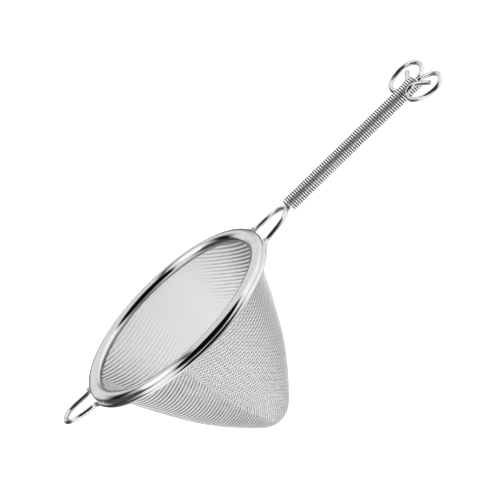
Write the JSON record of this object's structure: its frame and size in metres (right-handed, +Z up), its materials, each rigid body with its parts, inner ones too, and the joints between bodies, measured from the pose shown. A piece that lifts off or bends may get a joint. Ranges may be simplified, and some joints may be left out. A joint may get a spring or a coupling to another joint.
{
  "type": "conical mesh strainer",
  "caption": "Conical fine-mesh bar strainer: rolled rim, rest loop, close-wound coil grip on a wire handle ending in finger rings.",
  "frame": {"origin": "half way along the length from the rest loop's tip to the finger rings, on the plane of symmetry, at the height of the basket's tip: 39.405 mm from the rim's centre towards the handle and 65.3 mm below the rim's crown", "axes": "+X along the handle towards the finger rings, +Z up out of the open basket"},
  "size_m": [0.1988, 0.0915, 0.0664],
  "materials": {
    "polished_wire": "bright-drawn and polished stainless steel wire, 2 mm",
    "polished_band": "polished stainless steel strip, rolled",
    "hoop_steel": "plain stainless steel strip",
    "woven_cloth": "plain-weave stainless steel wire cloth, bright",
    "coil_wire": "polished stainless steel wire, 1 mm, close wound",
    "weld_steel": "small polished resistance weld"
  },
  "bodies": {
    "frame": {"frame_wire": "polished_wire", "rim_band": "polished_band", "mesh_hoop": "hoop_steel", "mesh_basket": "woven_cloth", "weld_handle_near": "weld_steel", "weld_handle_far": "weld_steel", "weld_rest_near": "weld_steel", "weld_rest_far": "weld_steel"},
    "grip": {"grip_coil": "coil_wire"}
  },
  "joints": [
    {"name": "grip_coil_spin", "type": "hinge", "parent": "frame", "child": "grip", "pos_m": [0.05659, 0, 0.0629], "axis": [1, 0, 0], "continuous": true}
  ]
}
